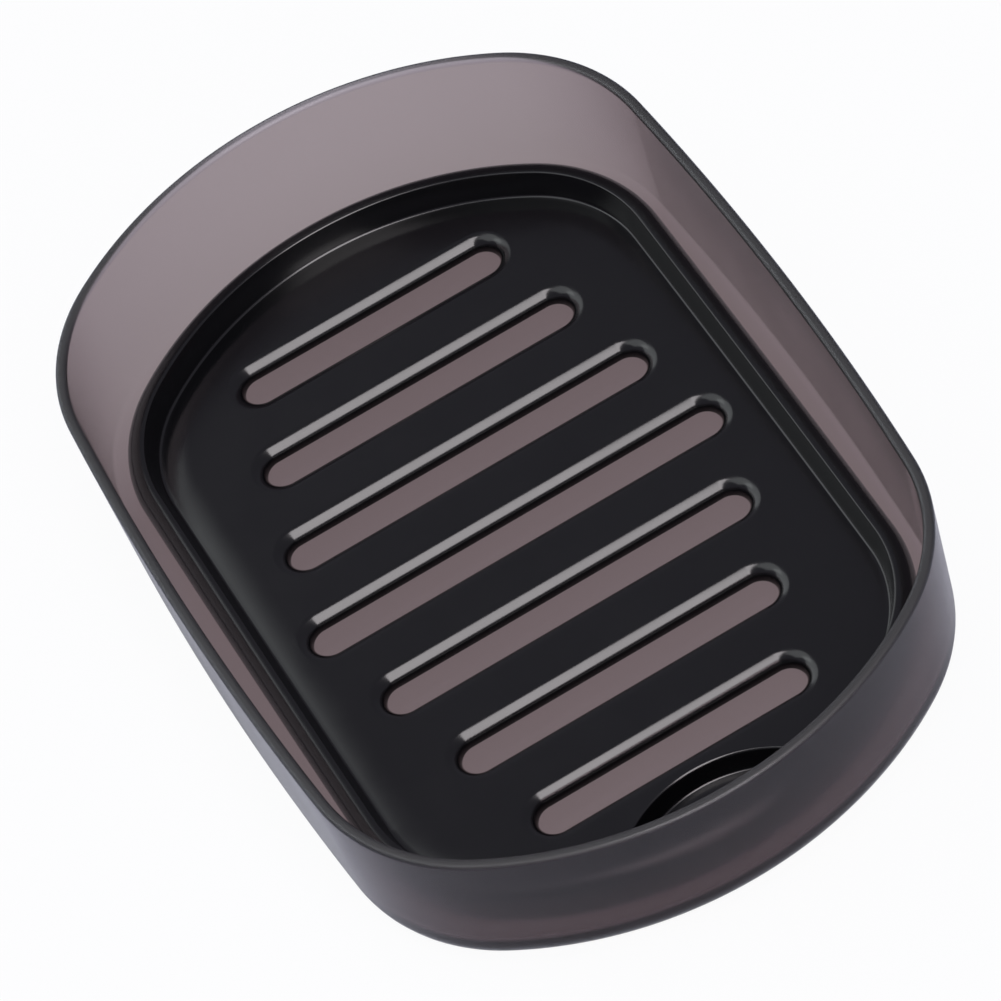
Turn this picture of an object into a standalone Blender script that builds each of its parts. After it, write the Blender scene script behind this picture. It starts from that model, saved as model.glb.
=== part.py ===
# Soap box: a smoky see-through box with an open top, and a black drain tray that lifts out of it.
# Metres, +Z up. The box stands on z = 0, +X is across it, and the tray's finger recess is at the -Y end.

import math

import bmesh
import bpy

# Box, over its outer faces at the rim
boxLength = 0.135
boxWidth = 0.0906
boxHeight = 0.0254
boxEndRadius = 0.0565
boxCornerRadius = 0.0274
boxSideRadius = 0.5
boxWall = 0.0016
boxBase = 0.0026
boxEndTaper = 0.0023
boxSideTaper = 0.0009
boxFootRound = 0.005
boxRimRound = 0.0006

# Tray: its bead follows the box wall at this clearance, and its skirt stands just clear of the box's base
trayClearance = 0.003
trayRest = 0.0003
trayHeight = 0.0072
trayFloorDrop = 0.00345
trayFloorThick = 0.0021
trayCornerEase = 0.0018
traySideRadius = 5.0
gutterWidth = 0.004
gutterDrop = 0.00035
skirtInset = 0.0005
skirtTaper = 0.0007
skirtWall = 0.0014
skirtRootRound = 0.0008

# Bead: a round outer face and crown, a crisp inner edge, and a steep inner face down to the floor
beadRadius = 0.0022
beadCrownTurn = math.radians(10)
beadEdgeRound = 0.00025
beadFaceTilt = math.radians(73)
beadFootRound = 0.0004

# Drain slots, measured at their straight walls: the side margin is from the floor's edge to the middle
# slot's ends, and the end margin from the floor's edge to the centre line of the first and last slots
slotCount = 7
slotWidth = 0.00505
slotSideMargin = 0.00491
slotEndMargin = 0.01415
slotLengthStep = 0.0075
slotLeadRound = 0.00195

# Finger recess: a half moon sunk into the floor at the tray's front end
recessRadius = 0.0182
recessReach = 0.0128
recessDepth = 0.0027
recessTaper = 0.0007
recessLeadRound = 0.0004
recessFootRound = 0.0004
recessWall = 0.001
recessLedge = 0.0003
recessSkirtShare = 0.25

# How finely round stretches are divided, and how far a cutter runs past what it cuts
sideSteps = 4
cornerSteps = 10
endSteps = 10
roundSteps = 4
beadSteps = 9
gutterSteps = 4
slotEndSteps = 10
recessSteps = 72
cutterOverrun = 0.001
smoothAngle = math.radians(32)

# Levels and places that follow from the sizes above
trayFoot = boxBase + trayRest
trayCrest = trayFoot + trayHeight
beadCentre = trayCrest - beadRadius
trayFloor = trayCrest - trayFloorDrop
trayUnderside = trayFloor - trayFloorThick
gutterFloor = trayFloor - gutterDrop
beadEdgeInset = beadRadius + (beadRadius - beadEdgeRound) * math.sin(beadCrownTurn)
beadEdgeCentre = beadCentre + (beadRadius - beadEdgeRound) * math.cos(beadCrownTurn)
beadFaceInset = beadEdgeInset + beadEdgeRound * math.sin(beadFaceTilt)
beadFaceTop = beadEdgeCentre + beadEdgeRound * math.cos(beadFaceTilt)
beadFaceFoot = gutterFloor + beadFootRound * (1 - math.cos(beadFaceTilt))
beadFaceRun = (beadFaceTop - beadFaceFoot) / math.tan(beadFaceTilt)
floorInset = beadFaceInset + beadFaceRun + beadFootRound * math.sin(beadFaceTilt)


def clearScene():
    for item in list(bpy.data.objects):
        bpy.data.objects.remove(item, do_unlink=True)


def arcPoints(centre, radius, start, end, steps):
    points = []
    for step in range(steps + 1):
        angle = start + (end - start) * step / steps
        points.append((centre[0] + radius * math.cos(angle), centre[1] + radius * math.sin(angle)))
    return points


def outline(shape, endInset, sideInset):
    # One quarter is a side arc, a corner arc and an end arc, each tangent to the next
    halfLength = shape["length"] / 2 - endInset
    halfWidth = shape["width"] / 2 - sideInset
    endRadius = shape["endRadius"] - endInset
    sideRadius = shape["sideRadius"] - sideInset
    cornerRadius = shape["cornerRadius"] - (endInset + sideInset) / 2
    sideCentre = halfWidth - sideRadius
    endCentre = halfLength - endRadius
    sideReach = sideRadius - cornerRadius
    endReach = endRadius - cornerRadius
    between = math.hypot(sideCentre, endCentre)
    along = (between ** 2 + sideReach ** 2 - endReach ** 2) / (2 * between)
    across = math.sqrt(sideReach ** 2 - along ** 2)
    cornerX = sideCentre - (sideCentre * along + endCentre * across) / between
    cornerY = (endCentre * along - sideCentre * across) / between
    sideTurn = math.atan2(cornerY, cornerX - sideCentre)
    endTurn = math.atan2(cornerY - endCentre, cornerX)
    quarter = arcPoints((sideCentre, 0), sideRadius, 0, sideTurn, sideSteps)[:-1]
    quarter += arcPoints((cornerX, cornerY), cornerRadius, sideTurn, endTurn, cornerSteps)[:-1]
    quarter += arcPoints((0, endCentre), endRadius, endTurn, math.pi / 2, endSteps)
    half = quarter + [(-x, y) for x, y in reversed(quarter[:-1])]
    return half + [(-x, -y) for x, y in half[1:-1]]


def ringAt(shape, endInset, sideInset, height):
    return [(x, y, height) for x, y in outline(shape, endInset, sideInset)]


def circleRing(centreY, radius, height):
    circle = arcPoints((0, centreY), radius, 0, 2 * math.pi, recessSteps)[:-1]
    return [(x, y, height) for x, y in circle]


def slotRing(middleY, length, grow, height):
    endRadius = slotWidth / 2 + grow
    reach = (length - slotWidth) / 2
    right = arcPoints((reach, middleY), endRadius, -math.pi / 2, math.pi / 2, slotEndSteps)
    left = arcPoints((-reach, middleY), endRadius, math.pi / 2, math.pi * 3 / 2, slotEndSteps)
    return [(x, y, height) for x, y in right + left]


def addRings(mesh, rings):
    # Each ring is joined to the next, and the first and last are filled to close the body
    loops = [[mesh.verts.new(point) for point in ring] for ring in rings]
    for low, high in zip(loops, loops[1:]):
        for index, corner in enumerate(low):
            following = (index + 1) % len(low)
            mesh.faces.new((corner, low[following], high[following], high[index]))
    mesh.faces.new(list(reversed(loops[0])))
    mesh.faces.new(loops[-1])


def makeBody(name, ringStacks):
    mesh = bmesh.new()
    for rings in ringStacks:
        addRings(mesh, rings)
    bmesh.ops.recalc_face_normals(mesh, faces=mesh.faces)
    data = bpy.data.meshes.new(name)
    mesh.to_mesh(data)
    mesh.free()
    body = bpy.data.objects.new(name, data)
    bpy.context.scene.collection.objects.link(body)
    return body


def makeCutter(name, ringStacks):
    cutter = makeBody(name, ringStacks)
    cutter.hide_render = True
    cutter.display_type = "WIRE"
    return cutter


def combine(body, operation, other):
    step = body.modifiers.new(operation.lower() + "_" + other.name, "BOOLEAN")
    step.operation = operation
    step.object = other
    step.solver = "EXACT"


def smooth(body):
    body.data.shade_smooth()
    body.data.set_sharp_from_angle(angle=smoothAngle)


def finish(name, colour, roughness, transmission):
    material = bpy.data.materials.new(name)
    material.use_nodes = True
    shader = material.node_tree.nodes["Principled BSDF"]
    shader.inputs["Base Color"].default_value = (*colour, 1)
    shader.inputs["Roughness"].default_value = roughness
    shader.inputs["Metallic"].default_value = 0
    shader.inputs["Transmission Weight"].default_value = transmission
    return material


def boxShape():
    return {
        "length": boxLength,
        "width": boxWidth,
        "endRadius": boxEndRadius,
        "cornerRadius": boxCornerRadius,
        "sideRadius": boxSideRadius,
    }


def boxTaper(height):
    # The walls draw in from the rim towards the base
    share = 1 - height / boxHeight
    return boxEndTaper * share, boxSideTaper * share


def trayShape():
    # The tray's outline is the box's inner face at the bead, drawn in by the clearance
    endTaper, sideTaper = boxTaper(beadCentre)
    endInset = endTaper + boxWall + trayClearance
    sideInset = sideTaper + boxWall + trayClearance
    return {
        "length": boxLength - 2 * endInset,
        "width": boxWidth - 2 * sideInset,
        "endRadius": boxEndRadius - endInset,
        "cornerRadius": boxCornerRadius - (endInset + sideInset) / 2 + trayCornerEase,
        "sideRadius": traySideRadius,
    }


def boxRing(shape, inset, height):
    endTaper, sideTaper = boxTaper(height)
    return ringAt(shape, endTaper + inset, sideTaper + inset, height)


def makeBox():
    shape = boxShape()
    rings = []
    for step in range(roundSteps + 1):
        angle = math.pi / 2 * step / roundSteps
        inset = boxFootRound * (1 - math.sin(angle))
        rings.append(boxRing(shape, inset, boxFootRound * (1 - math.cos(angle))))
    rimShoulder = boxHeight - boxRimRound
    for step in range(roundSteps + 1):
        angle = math.pi / 2 * step / roundSteps
        inset = boxRimRound * (1 - math.cos(angle))
        rings.append(boxRing(shape, inset, rimShoulder + boxRimRound * math.sin(angle)))
    for step in range(roundSteps + 1):
        angle = math.pi / 2 * step / roundSteps
        inset = boxWall - boxRimRound * (1 - math.sin(angle))
        rings.append(boxRing(shape, inset, rimShoulder + boxRimRound * math.cos(angle)))
    innerRound = boxFootRound - boxWall
    for step in range(roundSteps + 1):
        angle = math.pi / 2 * step / roundSteps
        inset = boxWall + innerRound * (1 - math.cos(angle))
        rings.append(boxRing(shape, inset, boxBase + innerRound * (1 - math.sin(angle))))
    box = makeBody("box", [rings])
    smooth(box)
    box.data.materials.append(finish("smoky plastic", (0.2, 0.16, 0.19), 0.08, 0.85))
    return box


def trayRings(shape):
    # One closed section: under the floor, down the skirt's inside, up its outside, over the bead and down its
    # inner face, then up the shallow gutter to the flat floor
    skirtInner = skirtInset + skirtWall
    rings = []
    for step in range(roundSteps + 1):
        angle = math.pi / 2 * step / roundSteps
        inset = skirtInner + skirtRootRound * (1 - math.sin(angle))
        height = trayUnderside - skirtRootRound * (1 - math.cos(angle))
        rings.append(ringAt(shape, inset, inset, height))
    footInner = skirtInner + skirtTaper
    footOuter = skirtInset + skirtTaper
    rings.append(ringAt(shape, footInner, footInner, trayFoot))
    rings.append(ringAt(shape, footOuter, footOuter, trayFoot))
    rings.append(ringAt(shape, skirtInset, skirtInset, beadCentre))
    for step in range(beadSteps + 1):
        angle = (math.pi / 2 + beadCrownTurn) * step / beadSteps
        inset = beadRadius * (1 - math.cos(angle))
        rings.append(ringAt(shape, inset, inset, beadCentre + beadRadius * math.sin(angle)))
    for step in range(1, roundSteps + 1):
        tilt = beadCrownTurn + (beadFaceTilt - beadCrownTurn) * step / roundSteps
        inset = beadEdgeInset + beadEdgeRound * math.sin(tilt)
        rings.append(ringAt(shape, inset, inset, beadEdgeCentre + beadEdgeRound * math.cos(tilt)))
    for step in range(roundSteps + 1):
        tilt = beadFaceTilt * (1 - step / roundSteps)
        inset = floorInset - beadFootRound * math.sin(tilt)
        rings.append(ringAt(shape, inset, inset, gutterFloor + beadFootRound * (1 - math.cos(tilt))))
    for step in range(1, gutterSteps + 1):
        share = step / gutterSteps
        inset = floorInset + gutterWidth * share
        rings.append(ringAt(shape, inset, inset, trayFloor - gutterDrop * (1 - share) ** 2))
    return rings


def slotRings(shape, index):
    # The longest slot is the middle one, and the others shorten by equal steps towards both ends
    fromMiddle = index - (slotCount - 1) / 2
    pitch = (shape["length"] - 2 * (floorInset + slotEndMargin)) / (slotCount - 1)
    middleY = fromMiddle * pitch
    length = shape["width"] - 2 * (floorInset + slotSideMargin) - abs(fromMiddle) * slotLengthStep
    rings = [slotRing(middleY, length, 0, trayUnderside - cutterOverrun)]
    for step in range(roundSteps + 1):
        angle = math.pi / 2 * step / roundSteps
        grow = slotLeadRound * (1 - math.cos(angle))
        height = trayFloor - slotLeadRound * (1 - math.sin(angle))
        rings.append(slotRing(middleY, length, grow, height))
    rings.append(slotRing(middleY, length, slotLeadRound, trayFloor + cutterOverrun))
    return rings


def recessRings(centreY):
    bottom = trayFloor - recessDepth
    footRadius = recessRadius - recessTaper
    rings = []
    for step in range(roundSteps + 1):
        angle = math.pi / 2 * step / roundSteps
        radius = footRadius - recessFootRound * (1 - math.sin(angle))
        rings.append(circleRing(centreY, radius, bottom + recessFootRound * (1 - math.cos(angle))))
    for step in range(roundSteps + 1):
        angle = math.pi / 2 * step / roundSteps
        radius = recessRadius + recessLeadRound * (1 - math.cos(angle))
        rings.append(circleRing(centreY, radius, trayFloor - recessLeadRound * (1 - math.sin(angle))))
    rings.append(circleRing(centreY, recessRadius + recessLeadRound, trayFloor + cutterOverrun))
    return rings


def makeTray():
    shape = trayShape()
    tray = makeBody("drain_tray", [trayRings(shape)])
    recessCentre = recessReach - recessRadius - shape["length"] / 2

    # The recess has its own pocket under the floor, which joins the skirt at the front
    pocketLimit = skirtInset + skirtWall * recessSkirtShare
    pocketTaper = pocketLimit + skirtTaper
    pocketBottom = trayFloor - recessDepth - recessWall
    pocketTop = (trayFloor + trayUnderside) / 2
    pocketEdge = recessRadius + recessWall
    pocket = makeCutter("pocket", [[
        circleRing(recessCentre, pocketEdge - recessTaper, pocketBottom),
        circleRing(recessCentre, pocketEdge, pocketTop),
    ]])
    pocketBounds = makeCutter("pocket_bounds", [[
        ringAt(shape, pocketTaper, pocketTaper, pocketBottom - cutterOverrun),
        ringAt(shape, pocketTaper, pocketTaper, pocketTop + cutterOverrun),
    ]])
    combine(pocket, "INTERSECT", pocketBounds)
    combine(tray, "UNION", pocket)

    slots = makeCutter("slot_cutters", [slotRings(shape, index) for index in range(slotCount)])
    combine(tray, "DIFFERENCE", slots)

    recess = makeCutter("recess_cutter", [recessRings(recessCentre)])
    floorEdge = floorInset + recessLedge
    recessBounds = makeCutter("recess_bounds", [[
        ringAt(shape, floorEdge, floorEdge, trayFloor - recessDepth - cutterOverrun),
        ringAt(shape, floorEdge, floorEdge, trayFloor + 2 * cutterOverrun),
    ]])
    combine(recess, "INTERSECT", recessBounds)
    combine(tray, "DIFFERENCE", recess)

    smooth(tray)
    tray.data.materials.append(finish("black plastic", (0.012, 0.012, 0.014), 0.16, 0))
    return tray


clearScene()
makeBox()
makeTray()
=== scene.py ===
# Soap box: a smoky see-through box and its black drain tray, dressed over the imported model
import math

import bmesh
import bpy
from mathutils import Matrix, Vector


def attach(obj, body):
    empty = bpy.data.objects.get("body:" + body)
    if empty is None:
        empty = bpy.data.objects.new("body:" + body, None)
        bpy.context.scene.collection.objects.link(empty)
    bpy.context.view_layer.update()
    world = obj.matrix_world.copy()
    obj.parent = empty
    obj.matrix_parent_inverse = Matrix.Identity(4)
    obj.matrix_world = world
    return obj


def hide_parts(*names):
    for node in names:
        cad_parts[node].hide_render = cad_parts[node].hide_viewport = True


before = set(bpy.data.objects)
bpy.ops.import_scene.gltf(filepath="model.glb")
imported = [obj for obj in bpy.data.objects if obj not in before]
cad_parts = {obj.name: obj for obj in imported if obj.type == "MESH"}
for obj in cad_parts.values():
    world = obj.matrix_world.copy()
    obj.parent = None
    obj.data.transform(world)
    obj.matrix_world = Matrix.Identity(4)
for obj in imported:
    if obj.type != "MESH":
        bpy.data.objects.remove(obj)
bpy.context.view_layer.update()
studio = bpy.context.scene.collection
print("frame loaded:", ", ".join(sorted(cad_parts)))


# Node trees

nodeColumn = 190
nodeRow = 150


def newTree(name, inputs):
    tree = bpy.data.node_groups.new(name, "GeometryNodeTree")
    for label, kind in inputs:
        tree.interface.new_socket(name=label, in_out="INPUT", socket_type="NodeSocket" + kind)
    tree.interface.new_socket(name="Geometry", in_out="OUTPUT", socket_type="NodeSocketGeometry")
    return tree


def place(tree, kind, spot, **settings):
    made = tree.nodes.new(kind)
    made.location = (spot[0] * nodeColumn, -spot[1] * nodeRow)
    for key, value in settings.items():
        setattr(made, key, value)
    return made


def join(tree, source, target):
    tree.links.new(source, target)


def fill(tree, node, slot, value):
    # A socket is fed by another socket, or holds a plain value
    if isinstance(value, bpy.types.NodeSocket):
        tree.links.new(value, node.inputs[slot])
    else:
        node.inputs[slot].default_value = value


def math2(tree, operation, first, second, spot):
    step = place(tree, "ShaderNodeMath", spot, operation=operation)
    fill(tree, step, 0, first)
    fill(tree, step, 1, second)
    return step.outputs[0]


def whole2(tree, operation, first, second, spot):
    step = place(tree, "FunctionNodeIntegerMath", spot, operation=operation)
    fill(tree, step, 0, first)
    fill(tree, step, 1, second)
    return step.outputs[0]


def setInput(modifier, label, value):
    # The modifier knows its inputs by the socket's identifier
    for item in modifier.node_group.interface.items_tree:
        if item.item_type == "SOCKET" and item.in_out == "INPUT" and item.name == label:
            modifier[item.identifier] = value
            return
    raise KeyError(label)


def makeOvalLoft():
    # Carries a section round an outline: every outline point gets one point for each section point, moved
    # inwards by the section's x and lifted to its z. The ends may lean in more than the sides.
    tree = newTree("ovalLoft", [
        ("Outline", "Object"),
        ("Section", "Object"),
        ("Height", "Float"),
        ("End Taper", "Float"),
        ("Side Taper", "Float"),
        ("Half Length", "Float"),
        ("Finish", "Material"),
    ])
    inputs = place(tree, "NodeGroupInput", (0, 0))
    outline = place(tree, "GeometryNodeObjectInfo", (1, 0))
    section = place(tree, "GeometryNodeObjectInfo", (1, 2))
    join(tree, inputs.outputs["Outline"], outline.inputs["Object"])
    join(tree, inputs.outputs["Section"], section.inputs["Object"])
    outlineSize = place(tree, "GeometryNodeAttributeDomainSize", (2, 0))
    sectionSize = place(tree, "GeometryNodeAttributeDomainSize", (2, 2))
    join(tree, outline.outputs["Geometry"], outlineSize.inputs[0])
    join(tree, section.outputs["Geometry"], sectionSize.inputs[0])
    around = outlineSize.outputs["Point Count"]
    rings = sectionSize.outputs["Point Count"]

    tube = place(tree, "GeometryNodeMeshCylinder", (4, 0), fill_type="NGON")
    join(tree, around, tube.inputs["Vertices"])
    join(tree, whole2(tree, "SUBTRACT", rings, 1, (3, 1)), tube.inputs["Side Segments"])

    index = place(tree, "GeometryNodeInputIndex", (2, 4)).outputs[0]
    ring = whole2(tree, "DIVIDE_FLOOR", index, around, (3, 4))
    spot = whole2(tree, "MODULO", index, around, (3, 5))
    after = whole2(tree, "MODULO", whole2(tree, "ADD", spot, 1, (4, 5)), around, (5, 5))
    turned = whole2(tree, "ADD", spot, whole2(tree, "SUBTRACT", around, 1, (4, 7)), (5, 7))
    before = whole2(tree, "MODULO", turned, around, (6, 7))
    position = place(tree, "GeometryNodeInputPosition", (5, 3)).outputs[0]

    def sample(source, at, where):
        step = place(tree, "GeometryNodeSampleIndex", where, data_type="FLOAT_VECTOR")
        join(tree, source, step.inputs["Geometry"])
        fill(tree, step, "Value", position)
        fill(tree, step, "Index", at)
        return step.outputs[0]

    here = sample(outline.outputs["Geometry"], spot, (7, 3))
    ahead = sample(outline.outputs["Geometry"], after, (7, 5))
    behind = sample(outline.outputs["Geometry"], before, (7, 7))
    cut = sample(section.outputs["Geometry"], ring, (7, 1))

    along = place(tree, "ShaderNodeVectorMath", (8, 5), operation="SUBTRACT")
    join(tree, ahead, along.inputs[0])
    join(tree, behind, along.inputs[1])
    inward = place(tree, "ShaderNodeVectorMath", (9, 5), operation="CROSS_PRODUCT")
    inward.inputs[0].default_value = (0, 0, 1)
    join(tree, along.outputs[0], inward.inputs[1])
    inwardUnit = place(tree, "ShaderNodeVectorMath", (10, 5), operation="NORMALIZE")
    join(tree, inward.outputs[0], inwardUnit.inputs[0])

    split = place(tree, "ShaderNodeSeparateXYZ", (8, 1))
    join(tree, cut, split.inputs[0])
    inset = split.outputs["X"]
    height = split.outputs["Z"]
    climbed = math2(tree, "DIVIDE", height, inputs.outputs["Height"], (9, 1))
    drop = math2(tree, "SUBTRACT", 1, climbed, (10, 1))
    sideLean = math2(tree, "MULTIPLY", inputs.outputs["Side Taper"], drop, (11, 1))
    endLean = math2(tree, "MULTIPLY", inputs.outputs["End Taper"], drop, (11, 2))
    sideInset = math2(tree, "ADD", inset, sideLean, (12, 1))
    endInset = math2(tree, "ADD", inset, endLean, (12, 2))
    endReach = math2(tree, "SUBTRACT", inputs.outputs["Half Length"], endInset, (13, 2))
    sideReach = math2(tree, "SUBTRACT", inputs.outputs["Half Length"], sideInset, (13, 1))
    stretch = math2(tree, "DIVIDE", endReach, sideReach, (14, 1))

    pushed = place(tree, "ShaderNodeVectorMath", (13, 5), operation="SCALE")
    join(tree, inwardUnit.outputs[0], pushed.inputs[0])
    join(tree, sideInset, pushed.inputs["Scale"])
    moved = place(tree, "ShaderNodeVectorMath", (14, 5), operation="ADD")
    join(tree, here, moved.inputs[0])
    join(tree, pushed.outputs[0], moved.inputs[1])
    flat = place(tree, "ShaderNodeSeparateXYZ", (15, 5))
    join(tree, moved.outputs[0], flat.inputs[0])
    final = place(tree, "ShaderNodeCombineXYZ", (17, 4))
    join(tree, flat.outputs["X"], final.inputs["X"])
    join(tree, math2(tree, "MULTIPLY", flat.outputs["Y"], stretch, (16, 5)), final.inputs["Y"])
    join(tree, height, final.inputs["Z"])

    shape = place(tree, "GeometryNodeSetPosition", (18, 0))
    join(tree, tube.outputs["Mesh"], shape.inputs["Geometry"])
    join(tree, final.outputs[0], shape.inputs["Position"])
    real = place(tree, "GeometryNodeRealizeInstances", (19, 0))
    join(tree, shape.outputs[0], real.inputs[0])
    finish = place(tree, "GeometryNodeSetMaterial", (20, 0))
    join(tree, real.outputs[0], finish.inputs["Geometry"])
    join(tree, inputs.outputs["Finish"], finish.inputs["Material"])
    out = place(tree, "NodeGroupOutput", (21, 0))
    join(tree, finish.outputs[0], out.inputs[0])
    return tree


def makeSlotRow():
    # Repeats one round cutter in a row and pulls its two halves apart, so that each slot keeps round ends.
    # The middle slot is the longest, and the others shorten by equal steps.
    tree = newTree("slotRow", [
        ("Geometry", "Geometry"),
        ("Count", "Int"),
        ("Pitch", "Float"),
        ("Reach", "Float"),
        ("Reach Step", "Float"),
        ("Finish", "Material"),
    ])
    inputs = place(tree, "NodeGroupInput", (0, 0))
    last = whole2(tree, "SUBTRACT", inputs.outputs["Count"], 1, (1, 2))
    middle = math2(tree, "DIVIDE", last, 2, (2, 2))
    halfRow = math2(tree, "MULTIPLY", middle, inputs.outputs["Pitch"], (3, 2))
    startY = math2(tree, "MULTIPLY", halfRow, -1, (4, 2))
    start = place(tree, "ShaderNodeCombineXYZ", (5, 2))
    join(tree, startY, start.inputs["Y"])
    offset = place(tree, "ShaderNodeCombineXYZ", (5, 3))
    join(tree, inputs.outputs["Pitch"], offset.inputs["Y"])
    line = place(tree, "GeometryNodeMeshLine", (6, 1), mode="OFFSET")
    join(tree, inputs.outputs["Count"], line.inputs["Count"])
    join(tree, start.outputs[0], line.inputs["Start Location"])
    join(tree, offset.outputs[0], line.inputs["Offset"])

    index = place(tree, "GeometryNodeInputIndex", (3, 4)).outputs[0]
    away = place(tree, "ShaderNodeMath", (5, 4), operation="ABSOLUTE")
    join(tree, math2(tree, "SUBTRACT", index, middle, (4, 4)), away.inputs[0])
    shorter = math2(tree, "MULTIPLY", away.outputs[0], inputs.outputs["Reach Step"], (6, 4))
    reach = math2(tree, "SUBTRACT", inputs.outputs["Reach"], shorter, (7, 4))
    keep = place(tree, "GeometryNodeStoreNamedAttribute", (8, 1), data_type="FLOAT", domain="POINT")
    join(tree, line.outputs[0], keep.inputs["Geometry"])
    keep.inputs["Name"].default_value = "reach"
    join(tree, reach, keep.inputs["Value"])

    copies = place(tree, "GeometryNodeInstanceOnPoints", (9, 0))
    join(tree, keep.outputs[0], copies.inputs["Points"])
    join(tree, inputs.outputs["Geometry"], copies.inputs["Instance"])
    real = place(tree, "GeometryNodeRealizeInstances", (10, 0))
    join(tree, copies.outputs[0], real.inputs[0])
    stored = place(tree, "GeometryNodeInputNamedAttribute", (9, 4), data_type="FLOAT")
    stored.inputs["Name"].default_value = "reach"
    position = place(tree, "GeometryNodeInputPosition", (9, 3))
    split = place(tree, "ShaderNodeSeparateXYZ", (10, 3))
    join(tree, position.outputs[0], split.inputs[0])
    side = place(tree, "ShaderNodeMath", (11, 3), operation="SIGN")
    join(tree, split.outputs["X"], side.inputs[0])
    pull = place(tree, "ShaderNodeCombineXYZ", (13, 3))
    join(tree, math2(tree, "MULTIPLY", side.outputs[0], stored.outputs[0], (12, 3)), pull.inputs["X"])
    shape = place(tree, "GeometryNodeSetPosition", (14, 0))
    join(tree, real.outputs[0], shape.inputs["Geometry"])
    join(tree, pull.outputs[0], shape.inputs["Offset"])
    finish = place(tree, "GeometryNodeSetMaterial", (15, 0))
    join(tree, shape.outputs[0], finish.inputs["Geometry"])
    join(tree, inputs.outputs["Finish"], finish.inputs["Material"])
    out = place(tree, "NodeGroupOutput", (16, 0))
    join(tree, finish.outputs[0], out.inputs[0])
    return tree


ovalLoft = makeOvalLoft()
slotRow = makeSlotRow()
print("node trees ready")


# Outlines and sections

def arc(centre, radius, start, end, steps):
    points = []
    for step in range(steps + 1):
        angle = start + (end - start) * step / steps
        points.append((centre[0] + radius * math.cos(angle), centre[1] + radius * math.sin(angle)))
    return points


def ovalPoints(oval, inset=0):
    # One quarter is a side arc, a corner arc and an end arc, each tangent to the next
    halfLength = oval["length"] / 2 - inset
    halfWidth = oval["width"] / 2 - inset
    endRadius = oval["endRadius"] - inset
    sideRadius = oval["sideRadius"] - inset
    cornerRadius = oval["cornerRadius"] - inset
    sideCentre = halfWidth - sideRadius
    endCentre = halfLength - endRadius
    sideReach = sideRadius - cornerRadius
    endReach = endRadius - cornerRadius
    between = math.hypot(sideCentre, endCentre)
    along = (between ** 2 + sideReach ** 2 - endReach ** 2) / (2 * between)
    across = math.sqrt(sideReach ** 2 - along ** 2)
    cornerX = sideCentre - (sideCentre * along + endCentre * across) / between
    cornerY = (endCentre * along - sideCentre * across) / between
    sideTurn = math.atan2(cornerY, cornerX - sideCentre)
    endTurn = math.atan2(cornerY - endCentre, cornerX)
    quarter = arc((sideCentre, 0), sideRadius, 0, sideTurn, oval["sideSteps"])[:-1]
    quarter += arc((cornerX, cornerY), cornerRadius, sideTurn, endTurn, oval["cornerSteps"])[:-1]
    quarter += arc((0, endCentre), endRadius, endTurn, math.pi / 2, oval["endSteps"])
    half = quarter + [(-x, y) for x, y in reversed(quarter[:-1])]
    return half + [(-x, -y) for x, y in half[1:-1]]


def circlePoints(centreY, radius, steps):
    # No point lies on x = 0, so that the slot row can pull the two halves apart
    points = []
    for step in range(steps):
        angle = 2 * math.pi * (step + 0.5) / steps
        points.append((radius * math.cos(angle), centreY + radius * math.sin(angle)))
    return points


def pointRow(name, points):
    # A guide for the loft: points alone, hidden from the render
    data = bpy.data.meshes.new(name)
    data.from_pydata(points, [], [])
    guide = bpy.data.objects.new(name, data)
    guide.hide_render = True
    studio.objects.link(guide)
    return guide


def outlineGuide(name, points):
    return pointRow(name, [(x, y, 0) for x, y in points])


def sectionGuide(name, points):
    return pointRow(name, [(inset, 0, height) for inset, height in points])


def loft(name, outline, section, finish, height=1.0, endTaper=0.0, sideTaper=0.0, halfLength=1.0):
    guides = [outlineGuide(name + "Outline", outline), sectionGuide(name + "Section", section)]
    body = bpy.data.objects.new(name, bpy.data.meshes.new(name))
    studio.objects.link(body)
    step = body.modifiers.new("loft", "NODES")
    step.node_group = ovalLoft
    setInput(step, "Outline", guides[0])
    setInput(step, "Section", guides[1])
    setInput(step, "Height", height)
    setInput(step, "End Taper", endTaper)
    setInput(step, "Side Taper", sideTaper)
    setInput(step, "Half Length", halfLength)
    setInput(step, "Finish", finish)
    settle(body)
    turnOut(body)
    for guide in guides:
        bpy.data.objects.remove(guide, do_unlink=True)
    return body


def settle(body):
    # Turns what the modifiers make into a plain mesh
    graph = bpy.context.evaluated_depsgraph_get()
    made = body.evaluated_get(graph)
    data = bpy.data.meshes.new_from_object(made, preserve_all_data_layers=True, depsgraph=graph)
    body.modifiers.clear()
    old = body.data
    body.data = data
    data.name = body.name
    bpy.data.meshes.remove(old)


def turnOut(body):
    mesh = bmesh.new()
    mesh.from_mesh(body.data)
    bmesh.ops.recalc_face_normals(mesh, faces=mesh.faces)
    mesh.to_mesh(body.data)
    mesh.free()


def combine(body, operation, other):
    step = body.modifiers.new(operation.lower(), "BOOLEAN")
    step.operation = operation
    step.object = other
    step.solver = "EXACT"
    settle(body)
    bpy.data.objects.remove(other, do_unlink=True)


flatWeight = 100


def polish(body, sharpAngle):
    # Smooth all over, sharp where two faces meet at more than the angle, and flats that stay flat
    body.data.shade_smooth()
    body.data.set_sharp_from_angle(angle=math.radians(sharpAngle))
    step = body.modifiers.new("flats", "WEIGHTED_NORMAL")
    step.mode = "FACE_AREA"
    step.weight = flatWeight
    step.keep_sharp = True
    settle(body)


def quarterTurn(steps):
    return [math.pi / 2 * step / steps for step in range(steps + 1)]


# Finishes

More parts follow.
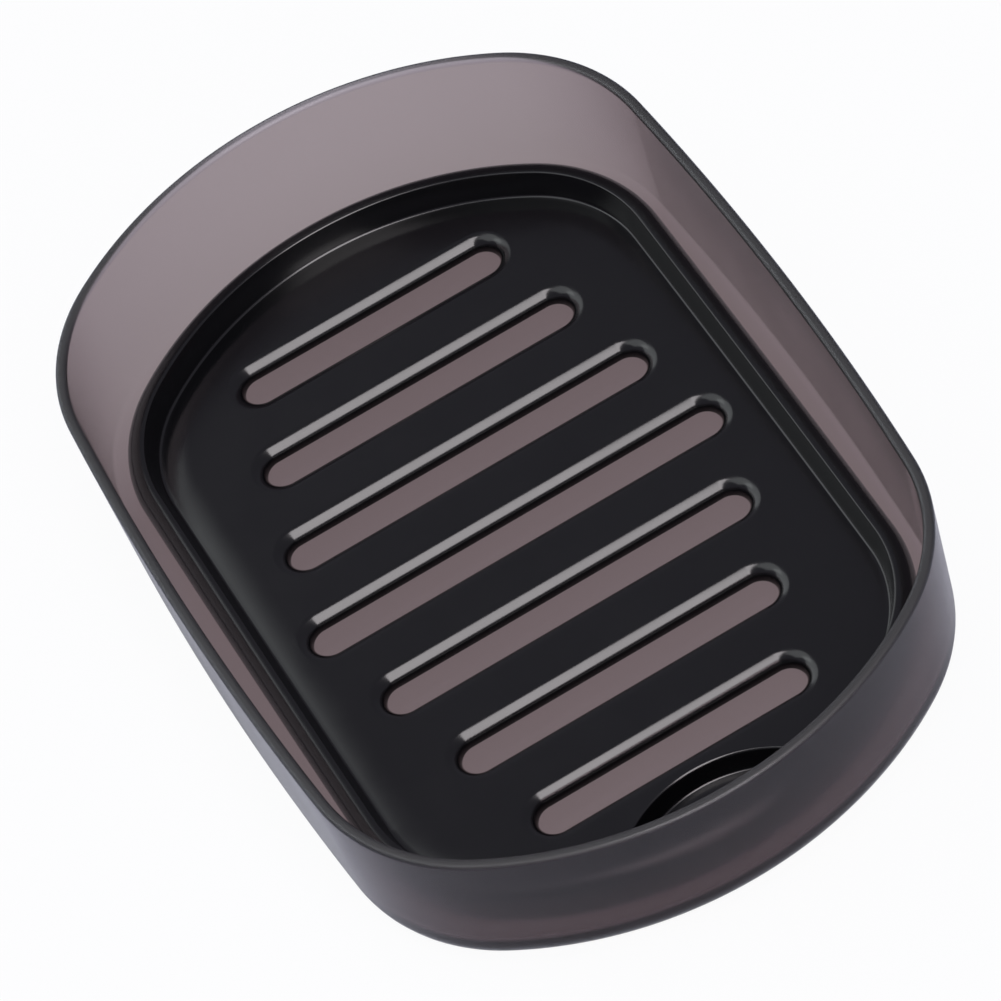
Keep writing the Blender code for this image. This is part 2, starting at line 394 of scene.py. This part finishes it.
def newFinish(name):
    finish = bpy.data.materials.new(name)
    finish.use_nodes = True
    tree = finish.node_tree
    shader = tree.nodes["Principled BSDF"]
    shader.location = (900, 0)
    tree.nodes["Material Output"].location = (1200, 0)
    return finish, tree, shader


def grain(tree, scale, detail, roughness, spot):
    # Noise on object coordinates, with its scale in cycles per metre
    coordinates = place(tree, "ShaderNodeTexCoord", spot)
    noise = place(tree, "ShaderNodeTexNoise", (spot[0] + 1, spot[1]))
    join(tree, coordinates.outputs["Object"], noise.inputs["Vector"])
    noise.inputs["Scale"].default_value = scale
    noise.inputs["Detail"].default_value = detail
    noise.inputs["Roughness"].default_value = roughness
    return noise.outputs["Fac"]


def span(tree, source, low, high, toLow, toHigh, spot):
    step = place(tree, "ShaderNodeMapRange", spot)
    join(tree, source, step.inputs["Value"])
    for label, value in (("From Min", low), ("From Max", high), ("To Min", toLow), ("To Max", toHigh)):
        step.inputs[label].default_value = value
    return step.outputs[0]


def bump(tree, shader, source, distance, strength, spot):
    step = place(tree, "ShaderNodeBump", spot)
    step.inputs["Distance"].default_value = distance
    step.inputs["Strength"].default_value = strength
    join(tree, source, step.inputs["Height"])
    join(tree, step.outputs[0], shader.inputs["Normal"])


# Nearly all of the noise lies between these two values
noiseLow = 0.3
noiseHigh = 0.7

smoke = {
    "tint": (1.0, 1.0, 1.0),
    "through": 0.995,
    "refraction": 1.25,
    "absorb": (0.23, 0.10, 0.13),
    "density": 670.0,
    "glossLow": 0.1615,
    "glossHigh": 0.228,
    "flowScale": 55.0,
    "flowDetail": 3,
    "rippleScale": 160.0,
    "rippleDetail": 2,
    "rippleDepth": 0.000006,
    "rippleShare": 0.5,
    "grainRoughness": 0.5,
    "rimLow": 0.0248,
    "rimHigh": 0.0252,
    "rimVeil": 0.9,
    "rimVeilGloss": 0.6,
    "rimVeilBend": 1.8,
    "rimVeilTint": (0.90, 0.92, 1.0),
}


def smokyPlastic():
    finish, tree, shader = newFinish("smokyPlastic")
    shader.inputs["Base Color"].default_value = (*smoke["tint"], 1)
    shader.inputs["Transmission Weight"].default_value = smoke["through"]
    shader.inputs["IOR"].default_value = smoke["refraction"]
    flow = grain(tree, smoke["flowScale"], smoke["flowDetail"], smoke["grainRoughness"], (0, 1))
    gloss = span(tree, flow, noiseLow, noiseHigh, smoke["glossLow"], smoke["glossHigh"], (2, 1))
    join(tree, gloss, shader.inputs["Roughness"])
    ripple = grain(tree, smoke["rippleScale"], smoke["rippleDetail"], smoke["grainRoughness"], (0, 3))
    bump(tree, shader, ripple, smoke["rippleDepth"], smoke["rippleShare"], (2, 3))

    # The top of the rim has a dull edge, which hides the long dark way down through the wall
    height = place(tree, "ShaderNodeSeparateXYZ", (1, 6))
    join(tree, place(tree, "ShaderNodeTexCoord", (0, 6)).outputs["Object"], height.inputs[0])
    veil = span(tree, height.outputs["Z"], smoke["rimLow"], smoke["rimHigh"], 0, smoke["rimVeil"], (2, 6))
    join(tree, veil, shader.inputs["Coat Weight"])
    shader.inputs["Coat Roughness"].default_value = smoke["rimVeilGloss"]
    shader.inputs["Coat IOR"].default_value = smoke["rimVeilBend"]
    shader.inputs["Coat Tint"].default_value = (*smoke["rimVeilTint"], 1)

    depth = place(tree, "ShaderNodeVolumeAbsorption", (4, 4))
    depth.inputs["Color"].default_value = (*smoke["absorb"], 1)
    depth.inputs["Density"].default_value = smoke["density"]
    join(tree, depth.outputs[0], tree.nodes["Material Output"].inputs["Volume"])
    return finish


jet = {
    "dark": (0.0012, 0.0012, 0.0016),
    "light": (0.0028, 0.0028, 0.0034),
    "refraction": 1.6,
    "glossLow": 0.1656,
    "glossHigh": 0.207,
    "flowScale": 40.0,
    "flowDetail": 4,
    "flowRoughness": 0.55,
    "wearScale": 120.0,
    "wearDetail": 3,
    "wearRoughness": 0.6,
    "rippleScale": 220.0,
    "rippleDetail": 2,
    "rippleRoughness": 0.5,
    "rippleDepth": 0.000006,
    "rippleShare": 0.4,
}


def blackPlastic():
    finish, tree, shader = newFinish("blackPlastic")
    shader.inputs["IOR"].default_value = jet["refraction"]
    flow = grain(tree, jet["flowScale"], jet["flowDetail"], jet["flowRoughness"], (0, 0))
    mix = place(tree, "ShaderNodeMix", (2, 0), data_type="RGBA")
    join(tree, flow, mix.inputs["Factor"])
    # The node has sockets of the same name for each kind of value: these are the colours
    for label, value in (("A", jet["dark"]), ("B", jet["light"])):
        for socket in mix.inputs:
            if socket.name == label and socket.type == "RGBA":
                socket.default_value = (*value, 1)
    colour = [socket for socket in mix.outputs if socket.type == "RGBA"][0]
    join(tree, colour, shader.inputs["Base Color"])
    wear = grain(tree, jet["wearScale"], jet["wearDetail"], jet["wearRoughness"], (0, 2))
    gloss = span(tree, wear, noiseLow, noiseHigh, jet["glossLow"], jet["glossHigh"], (2, 2))
    join(tree, gloss, shader.inputs["Roughness"])
    ripple = grain(tree, jet["rippleScale"], jet["rippleDetail"], jet["rippleRoughness"], (0, 4))
    bump(tree, shader, ripple, jet["rippleDepth"], jet["rippleShare"], (2, 4))
    return finish


smoky = smokyPlastic()
black = blackPlastic()
print("finishes ready")


# Box

box = {
    "length": 0.135,
    "width": 0.0906,
    "height": 0.0254,
    "endRadius": 0.0565,
    "cornerRadius": 0.0274,
    "sideRadius": 0.5,
    "wall": 0.0016,
    "base": 0.0026,
    "endTaper": 0.0023,
    "sideTaper": 0.0009,
    "footRound": 0.005,
    "rimRound": 0.0006,
    "flatEdge": 0.0015,
    "roundSteps": 12,
    "rimSteps": 8,
    "wallSteps": 6,
    "sideSteps": 14,
    "cornerSteps": 34,
    "endSteps": 30,
    "sharpAngle": 40,
}


def boxSection():
    # From the underside out round the foot, up the wall, over the rim and down the inside to the floor
    foot = box["footRound"]
    rim = box["rimRound"]
    shoulder = box["height"] - rim
    points = [(foot + box["flatEdge"], 0)]
    for turn in quarterTurn(box["roundSteps"]):
        points.append((foot * (1 - math.sin(turn)), foot * (1 - math.cos(turn))))
    for step in range(1, box["wallSteps"]):
        points.append((0, foot + (shoulder - foot) * step / box["wallSteps"]))
    for turn in quarterTurn(box["rimSteps"]):
        points.append((rim * (1 - math.cos(turn)), shoulder + rim * math.sin(turn)))
    for turn in quarterTurn(box["rimSteps"]):
        points.append((box["wall"] - rim * (1 - math.sin(turn)), shoulder + rim * math.cos(turn)))
    innerRound = foot - box["wall"]
    low = box["base"] + innerRound
    for step in range(1, box["wallSteps"]):
        points.append((box["wall"], shoulder + (low - shoulder) * step / box["wallSteps"]))
    for turn in quarterTurn(box["roundSteps"]):
        points.append((box["wall"] + innerRound * (1 - math.cos(turn)), low - innerRound * math.sin(turn)))
    points.append((foot + box["flatEdge"], box["base"]))
    return points


def makeBox():
    shell = loft(
        "smokyBox", ovalPoints(box), boxSection(), smoky,
        height=box["height"],
        endTaper=box["endTaper"],
        sideTaper=box["sideTaper"],
        halfLength=box["length"] / 2,
    )
    polish(shell, box["sharpAngle"])
    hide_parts("box")
    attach(shell, "box_body")
    return shell


smokyBox = makeBox()
print("box:", len(smokyBox.data.polygons), "faces")


# Drain tray

tray = {
    "length": 0.12263,
    "width": 0.08016,
    "endRadius": 0.05032,
    "cornerRadius": 0.0235,
    "sideRadius": 5.0,
    "foot": 0.0029,
    "height": 0.0072,
    "floorDrop": 0.00345,
    "floorThick": 0.0021,
    "beadRadius": 0.0022,
    "crownTurn": math.radians(10),
    "edgeRound": 0.00025,
    "faceTilt": math.radians(73),
    "beadFootRound": 0.0004,
    "gutterWidth": 0.004,
    "gutterDrop": 0.00035,
    "skirtInset": 0.0005,
    "skirtTaper": 0.0007,
    "skirtWall": 0.0014,
    "skirtRootRound": 0.0008,
    "flatEdge": 0.00015,
    "roundSteps": 6,
    "beadSteps": 18,
    "edgeSteps": 6,
    "gutterSteps": 8,
    "sideSteps": 10,
    "cornerSteps": 34,
    "endSteps": 30,
    "sharpAngle": 32,
}
tray["crest"] = tray["foot"] + tray["height"]
tray["floor"] = tray["crest"] - tray["floorDrop"]
tray["underside"] = tray["floor"] - tray["floorThick"]
tray["gutterFloor"] = tray["floor"] - tray["gutterDrop"]

slots = {
    "count": 7,
    "pitch": 0.01433,
    "width": 0.00505,
    "length": 0.062,
    "step": 0.0075,
    "lead": 0.00195,
    "past": 0.001,
    "endSteps": 44,
    "leadSteps": 12,
}

recess = {
    "radius": 0.0182,
    "reach": 0.0128,
    "depth": 0.0027,
    "taper": 0.0007,
    "lead": 0.0004,
    "footRound": 0.0004,
    "wall": 0.001,
    "ledge": 0.0003,
    "skirtShare": 0.25,
    "past": 0.001,
    "steps": 160,
    "roundSteps": 6,
}


def beadPoints():
    # A round outer face and crown, a crisp inner edge, and a steep inner face with a small hollow round
    # at its foot
    bead = tray["beadRadius"]
    edge = tray["edgeRound"]
    turn = tray["crownTurn"]
    tilt = tray["faceTilt"]
    centre = tray["crest"] - bead
    points = arc((bead, centre), bead, math.pi, math.pi / 2 - turn, tray["beadSteps"])
    edgeInset = bead + (bead - edge) * math.sin(turn)
    edgeHeight = centre + (bead - edge) * math.cos(turn)
    rounded = arc((edgeInset, edgeHeight), edge, math.pi / 2 - turn, math.pi / 2 - tilt, tray["edgeSteps"])
    points += rounded[1:]
    foot = tray["beadFootRound"]
    low = tray["gutterFloor"] + foot
    run = (points[-1][1] - low + foot * math.cos(tilt)) / math.tan(tilt)
    footInset = points[-1][0] + run + foot * math.sin(tilt)
    return points + arc((footInset, low), foot, -math.pi / 2 - tilt, -math.pi / 2, tray["roundSteps"])


tray["floorInset"] = beadPoints()[-1][0]


def traySection():
    # Under the floor, down the skirt's inside, up its outside, over the bead, and up the gutter to the
    # flat floor
    inner = tray["skirtInset"] + tray["skirtWall"]
    root = tray["skirtRootRound"]
    under = tray["underside"]
    bead = tray["beadRadius"]
    centre = tray["crest"] - bead
    points = [(inner + root + tray["flatEdge"], under)]
    for turn in quarterTurn(tray["roundSteps"]):
        points.append((inner + root * (1 - math.sin(turn)), under - root * (1 - math.cos(turn))))
    points.append((inner + tray["skirtTaper"], tray["foot"]))
    points.append((tray["skirtInset"] + tray["skirtTaper"], tray["foot"]))
    points.append((tray["skirtInset"], centre - bead / 4))
    points += beadPoints()
    for step in range(1, tray["gutterSteps"] + 1):
        share = step / tray["gutterSteps"]
        height = tray["floor"] - tray["gutterDrop"] * (1 - share) ** 2
        points.append((tray["floorInset"] + tray["gutterWidth"] * share, height))
    points.append((tray["floorInset"] + tray["gutterWidth"] + tray["flatEdge"], tray["floor"]))
    return points


def slotCutters():
    # One round cutter with its rounded lead-in, repeated and drawn out into the seven slots
    lead = slots["lead"]
    section = [(0, tray["underside"] - slots["past"])]
    for turn in quarterTurn(slots["leadSteps"]):
        section.append((-lead * (1 - math.cos(turn)), tray["floor"] - lead * (1 - math.sin(turn))))
    section.append((-lead, tray["floor"] + slots["past"]))
    cutter = loft("slotCutter", circlePoints(0, slots["width"] / 2, slots["endSteps"]), section, black)
    step = cutter.modifiers.new("row", "NODES")
    step.node_group = slotRow
    setInput(step, "Count", slots["count"])
    setInput(step, "Pitch", slots["pitch"])
    setInput(step, "Reach", (slots["length"] - slots["width"]) / 2)
    setInput(step, "Reach Step", slots["step"] / 2)
    setInput(step, "Finish", black)
    settle(cutter)
    turnOut(cutter)
    return cutter


def insetPrism(name, inset, low, high):
    return loft(name, ovalPoints(tray, inset), [(0, low), (0, high)], black)


def recessCutter(centreY):
    bottom = tray["floor"] - recess["depth"]
    foot = recess["footRound"]
    lead = recess["lead"]
    past = recess["past"]
    section = []
    for turn in quarterTurn(recess["roundSteps"]):
        section.append((recess["taper"] + foot * (1 - math.sin(turn)), bottom + foot * (1 - math.cos(turn))))
    for turn in quarterTurn(recess["roundSteps"]):
        section.append((-lead * (1 - math.cos(turn)), tray["floor"] - lead * (1 - math.sin(turn))))
    section.append((-lead, tray["floor"] + past))
    cutter = loft("recessCutter", circlePoints(centreY, recess["radius"], recess["steps"]), section, black)
    edge = tray["floorInset"] + recess["ledge"]
    limit = insetPrism("recessLimit", edge, bottom - past, tray["floor"] + 2 * past)
    combine(cutter, "INTERSECT", limit)
    return cutter


def recessPocket(centreY):
    # The recess is deeper than the floor is thick, so it has a pocket of its own below
    bottom = tray["floor"] - recess["depth"] - recess["wall"]
    top = (tray["floor"] + tray["underside"]) / 2
    section = [(recess["taper"], bottom), (0, top)]
    outline = circlePoints(centreY, recess["radius"] + recess["wall"], recess["steps"])
    pocket = loft("pocket", outline, section, black)
    edge = tray["skirtInset"] + tray["skirtWall"] * recess["skirtShare"] + tray["skirtTaper"]
    limit = insetPrism("pocketLimit", edge, bottom - recess["past"], top + recess["past"])
    combine(pocket, "INTERSECT", limit)
    return pocket


def makeTray():
    moulding = loft("drainTray", ovalPoints(tray), traySection(), black)
    centreY = recess["reach"] - recess["radius"] - tray["length"] / 2
    combine(moulding, "UNION", recessPocket(centreY))
    combine(moulding, "DIFFERENCE", slotCutters())
    combine(moulding, "DIFFERENCE", recessCutter(centreY))
    polish(moulding, tray["sharpAngle"])
    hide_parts("drain_tray")
    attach(moulding, "tray_body")
    return moulding


drainTray = makeTray()
print("tray:", len(drainTray.data.polygons), "faces")


# Studio: floor, lamps, room light and camera

ground = {
    "size": 12.0,
    "drop": 0.0001,
    "roughness": 0.9,
    "colour": (0.61, 0.64, 0.79),
    "cameraGlow": 0.95,
    "glossGlow": 0.3,
    "throughGlow": 0.75,
}


def makeFloor():
    data = bpy.data.meshes.new("floor")
    half = ground["size"] / 2
    corners = [(-half, -half, 0), (half, -half, 0), (half, half, 0), (-half, half, 0)]
    data.from_pydata(corners, [], [(0, 1, 2, 3)])
    floor = bpy.data.objects.new("floor", data)
    floor.location.z = -ground["drop"]
    studio.objects.link(floor)
    finish, tree, shader = newFinish("paper")
    shader.inputs["Base Color"].default_value = (*ground["colour"], 1)
    shader.inputs["Roughness"].default_value = ground["roughness"]
    shader.inputs["Specular IOR Level"].default_value = 0.0

    # The paper glows by a share of its own where it is seen, mirrored or seen through. The rest is lit like
    # any other surface, and keeps the shadow.
    path = place(tree, "ShaderNodeLightPath", (4, -3))
    white = place(tree, "ShaderNodeEmission", (5, 2))
    seen = math2(tree, "MULTIPLY", path.outputs["Is Camera Ray"], ground["cameraGlow"], (5, -3))
    gloss = math2(tree, "MULTIPLY", path.outputs["Is Glossy Ray"], ground["glossGlow"], (5, -4))
    through = math2(tree, "MULTIPLY", path.outputs["Is Transmission Ray"], ground["throughGlow"], (5, -5))
    direct = math2(tree, "MAXIMUM", seen, gloss, (6, -3))
    share = math2(tree, "MAXIMUM", direct, through, (7, -3))
    mix = place(tree, "ShaderNodeMixShader", (7, 0))
    join(tree, share, mix.inputs["Fac"])
    join(tree, shader.outputs[0], mix.inputs[1])
    join(tree, white.outputs[0], mix.inputs[2])
    join(tree, mix.outputs[0], tree.nodes["Material Output"].inputs["Surface"])
    data.materials.append(finish)
    return floor


def outward(azimuth, elevation):
    # From the object's front, -Y, at azimuth 0, turning towards +X, in degrees
    around = math.radians(azimuth)
    above = math.radians(elevation)
    level = math.cos(above)
    return Vector((math.sin(around) * level, -math.cos(around) * level, math.sin(above)))


lamps = [
    {
        "name": "front",
        "azimuth": 7,
        "elevation": 58,
        "distance": 1.2,
        "size": (0.44, 1.6),
        "radiance": 5.6,
        "colour": (1.0, 0.95, 0.97),
    },
    {
        "name": "backLeft",
        "azimuth": -145,
        "elevation": 30,
        "distance": 1.4,
        "size": (1.4, 1.2),
        "radiance": 1.0,
        "colour": (0.95, 1.0, 1.0),
    },
    {
        "name": "left",
        "azimuth": -105,
        "elevation": 58,
        "distance": 1.3,
        "size": (1.2, 0.9),
        "radiance": 0.95,
        "colour": (0.96, 1.0, 1.0),
    },
]


def makeLamps():
    for lamp in lamps:
        light = bpy.data.lights.new(lamp["name"], "AREA")
        light.shape = "RECTANGLE"
        light.size, light.size_y = lamp["size"]
        light.color = lamp["colour"]
        light.energy = lamp["radiance"] * math.pi * light.size * light.size_y
        back = outward(lamp["azimuth"], lamp["elevation"])
        stand = bpy.data.objects.new(lamp["name"], light)
        stand.location = back * lamp["distance"]
        stand.rotation_euler = back.to_track_quat("Z", "Y").to_euler()
        studio.objects.link(stand)


room = {
    "colour": (0.86, 0.84, 1.0),
    "strength": 0.26,
}


def makeWorld():
    world = bpy.data.worlds.new("room")
    world.use_nodes = True
    air = world.node_tree.nodes["Background"]
    air.inputs["Color"].default_value = (*room["colour"], 1)
    air.inputs["Strength"].default_value = room["strength"]
    bpy.context.scene.world = world


view = {
    "azimuth": -10.65,
    "elevation": 51.3,
    "roll": 21.81,
    "distance": 0.88896,
    "focal": 6732.44,
    "frame": 1001,
    "aside": (0.00354, 0.00712),
    "sensor": 36.0,
    "nearest": 0.01,
}


def makeCamera():
    # The viewpoint was fitted to the photo's outlines: the focal length is in pixels of its frame
    roll = math.radians(view["roll"])
    back = outward(view["azimuth"], view["elevation"])
    right = (-back).cross(Vector((0, 0, 1))).normalized()
    down = (-back).cross(right)
    across = math.cos(roll) * right + math.sin(roll) * down
    below = -math.sin(roll) * right + math.cos(roll) * down
    lens = bpy.data.cameras.new("camera")
    lens.sensor_width = view["sensor"]
    lens.lens = lens.sensor_width * view["focal"] / view["frame"]
    lens.clip_start = view["nearest"]
    eye = bpy.data.objects.new("camera", lens)
    turn = Matrix((across, -below, back)).transposed()
    where = back * view["distance"] - across * view["aside"][0] - below * view["aside"][1]
    eye.matrix_world = Matrix.Translation(where) @ turn.to_4x4()
    studio.objects.link(eye)
    bpy.context.scene.camera = eye


makeFloor()
makeLamps()
makeWorld()
makeCamera()
bpy.context.scene.view_settings.view_transform = "Standard"
print("studio ready")
